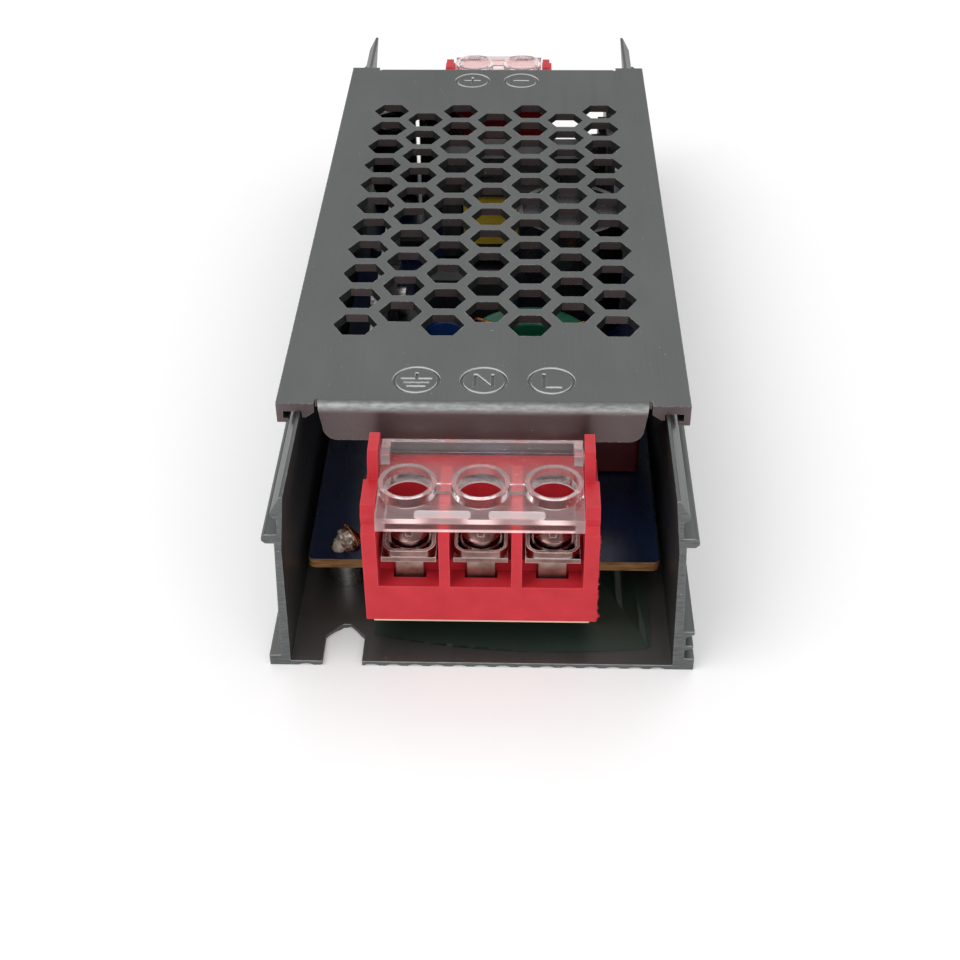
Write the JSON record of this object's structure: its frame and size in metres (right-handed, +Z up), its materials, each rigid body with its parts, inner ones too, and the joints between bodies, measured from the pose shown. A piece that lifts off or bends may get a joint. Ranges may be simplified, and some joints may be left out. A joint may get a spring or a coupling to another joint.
{
  "type": "ac-dc converter",
  "caption": "Slim vented aluminium case with a screw terminal block and clear hinged flap at each end; turns mains AC into low voltage DC.",
  "frame": {"origin": "middle of the underside of the channel", "axes": "+Z up, +Y along the length from the AC end to the DC end, +X to the right seen from the AC end"},
  "size_m": [0.0578, 0.15, 0.0307],
  "materials": {
    "dark_aluminium": "dark grey anodised, satin",
    "green_film": "dark green translucent film",
    "board": "dark blue solder mask",
    "plated_steel": "zinc plated",
    "solder": "dull solder with brown flux",
    "red_plastic": "red, satin moulded",
    "clear_plastic": "clear, slightly hazy",
    "contact_metal": "brushed tinned metal",
    "chrome": "bright nickel",
    "brown_plastic": "brown moulded",
    "blue_coating": "blue dipped",
    "green_coating": "green coated",
    "dark_red_plastic": "dark red coated",
    "copper_wire": "enamelled copper wire",
    "black_plastic": "black moulded",
    "black_sleeve": "black sleeve",
    "bare_aluminium": "mill finish",
    "ferrite": "dark ferrite",
    "yellow_tape": "yellow tape",
    "yellow_core": "yellow coated powder core"
  },
  "bodies": {
    "converter": {"base_channel": "dark_aluminium", "top_cover": "dark_aluminium", "insulation_sheet": "green_film", "circuit_board": "board", "board_posts": "plated_steel", "board_screws": "plated_steel", "earth_joint": "solder", "solder_joints": "solder", "ac_terminal_block": "red_plastic", "ac_contact_earth": "contact_metal", "ac_contact_neutral": "contact_metal", "ac_contact_live": "contact_metal", "dc_terminal_block": "red_plastic", "dc_contact_minus": "contact_metal", "dc_contact_plus": "contact_metal", "fuse": "brown_plastic", "varistor": "blue_coating", "inrush_thermistor": "green_coating", "film_capacitor": "dark_red_plastic", "choke_core": "green_coating", "choke_windings": "copper_wire", "safety_capacitors": "blue_coating", "bridge_rectifier": "black_plastic", "bulk_capacitor": "black_sleeve", "primary_heat_plate": "bare_aluminium", "switching_transistor": "black_plastic", "transistor_screw": "plated_steel", "controller_chip": "black_plastic", "optocoupler": "black_plastic", "transformer_core": "ferrite", "transformer_bobbin": "black_plastic", "transformer_winding": "yellow_tape", "output_heat_plate": "bare_aluminium", "output_rectifier": "black_plastic", "rectifier_screw": "plated_steel", "output_inductor_core": "yellow_core", "output_inductor_winding": "copper_wire", "output_capacitors": "black_sleeve"},
    "ac_flap": {"ac_terminal_flap": "clear_plastic"},
    "dc_flap": {"dc_terminal_flap": "clear_plastic"},
    "ac_earth_clamp": {"ac_clamp_earth": "chrome"},
    "ac_earth_screw": {"ac_screw_earth": "chrome"},
    "ac_neutral_clamp": {"ac_clamp_neutral": "chrome"},
    "ac_neutral_screw": {"ac_screw_neutral": "chrome"},
    "ac_live_clamp": {"ac_clamp_live": "chrome"},
    "ac_live_screw": {"ac_screw_live": "chrome"},
    "dc_minus_clamp": {"dc_clamp_minus": "chrome"},
    "dc_minus_screw": {"dc_screw_minus": "chrome"},
    "dc_plus_clamp": {"dc_clamp_plus": "chrome"},
    "dc_plus_screw": {"dc_screw_plus": "chrome"}
  },
  "joints": [
    {"name": "ac_flap_hinge", "type": "hinge", "parent": "converter", "child": "ac_flap", "pos_m": [0, -0.0615, 0.0259], "axis": [-1, 0, 0], "range_deg": [0, 105]},
    {"name": "dc_flap_hinge", "type": "hinge", "parent": "converter", "child": "dc_flap", "pos_m": [0, 0.0615, 0.0259], "axis": [1, 0, 0], "range_deg": [0, 105]},
    {"name": "ac_earth_clamp_lift", "type": "slide", "parent": "converter", "child": "ac_earth_clamp", "axis": [0, 0, 1], "range_m": [-0.0008, 0.0016]},
    {"name": "ac_earth_screw_turn", "type": "hinge", "parent": "ac_earth_clamp", "child": "ac_earth_screw", "pos_m": [-0.0095, -0.0682, 0.0149], "axis": [0, 0, 1], "range_deg": [-481, 961]},
    {"name": "ac_neutral_clamp_lift", "type": "slide", "parent": "converter", "child": "ac_neutral_clamp", "axis": [0, 0, 1], "range_m": [-0.0008, 0.0016]},
    {"name": "ac_neutral_screw_turn", "type": "hinge", "parent": "ac_neutral_clamp", "child": "ac_neutral_screw", "pos_m": [0, -0.0682, 0.0149], "axis": [0, 0, 1], "range_deg": [-481, 961]},
    {"name": "ac_live_clamp_lift", "type": "slide", "parent": "converter", "child": "ac_live_clamp", "axis": [0, 0, 1], "range_m": [-0.0008, 0.0016]},
    {"name": "ac_live_screw_turn", "type": "hinge", "parent": "ac_live_clamp", "child": "ac_live_screw", "pos_m": [0.0095, -0.0682, 0.0149], "axis": [0, 0, 1], "range_deg": [-481, 961]},
    {"name": "dc_minus_clamp_lift", "type": "slide", "parent": "converter", "child": "dc_minus_clamp", "axis": [0, 0, 1], "range_m": [-0.0008, 0.0016]},
    {"name": "dc_minus_screw_turn", "type": "hinge", "parent": "dc_minus_clamp", "child": "dc_minus_screw", "pos_m": [0.00475, 0.0682, 0.0149], "axis": [0, 0, 1], "range_deg": [-481, 961]},
    {"name": "dc_plus_clamp_lift", "type": "slide", "parent": "converter", "child": "dc_plus_clamp", "axis": [0, 0, 1], "range_m": [-0.0008, 0.0016]},
    {"name": "dc_plus_screw_turn", "type": "hinge", "parent": "dc_plus_clamp", "child": "dc_plus_screw", "pos_m": [-0.00475, 0.0682, 0.0149], "axis": [0, 0, 1], "range_deg": [-481, 961]}
  ],
  "couplings": [
    {"joint": "ac_earth_screw_turn", "follows": "ac_earth_clamp_lift", "rad_per_m": 10472},
    {"joint": "ac_neutral_screw_turn", "follows": "ac_neutral_clamp_lift", "rad_per_m": 10472},
    {"joint": "ac_live_screw_turn", "follows": "ac_live_clamp_lift", "rad_per_m": 10472},
    {"joint": "dc_minus_screw_turn", "follows": "dc_minus_clamp_lift", "rad_per_m": 10472},
    {"joint": "dc_plus_screw_turn", "follows": "dc_plus_clamp_lift", "rad_per_m": 10472}
  ]
}
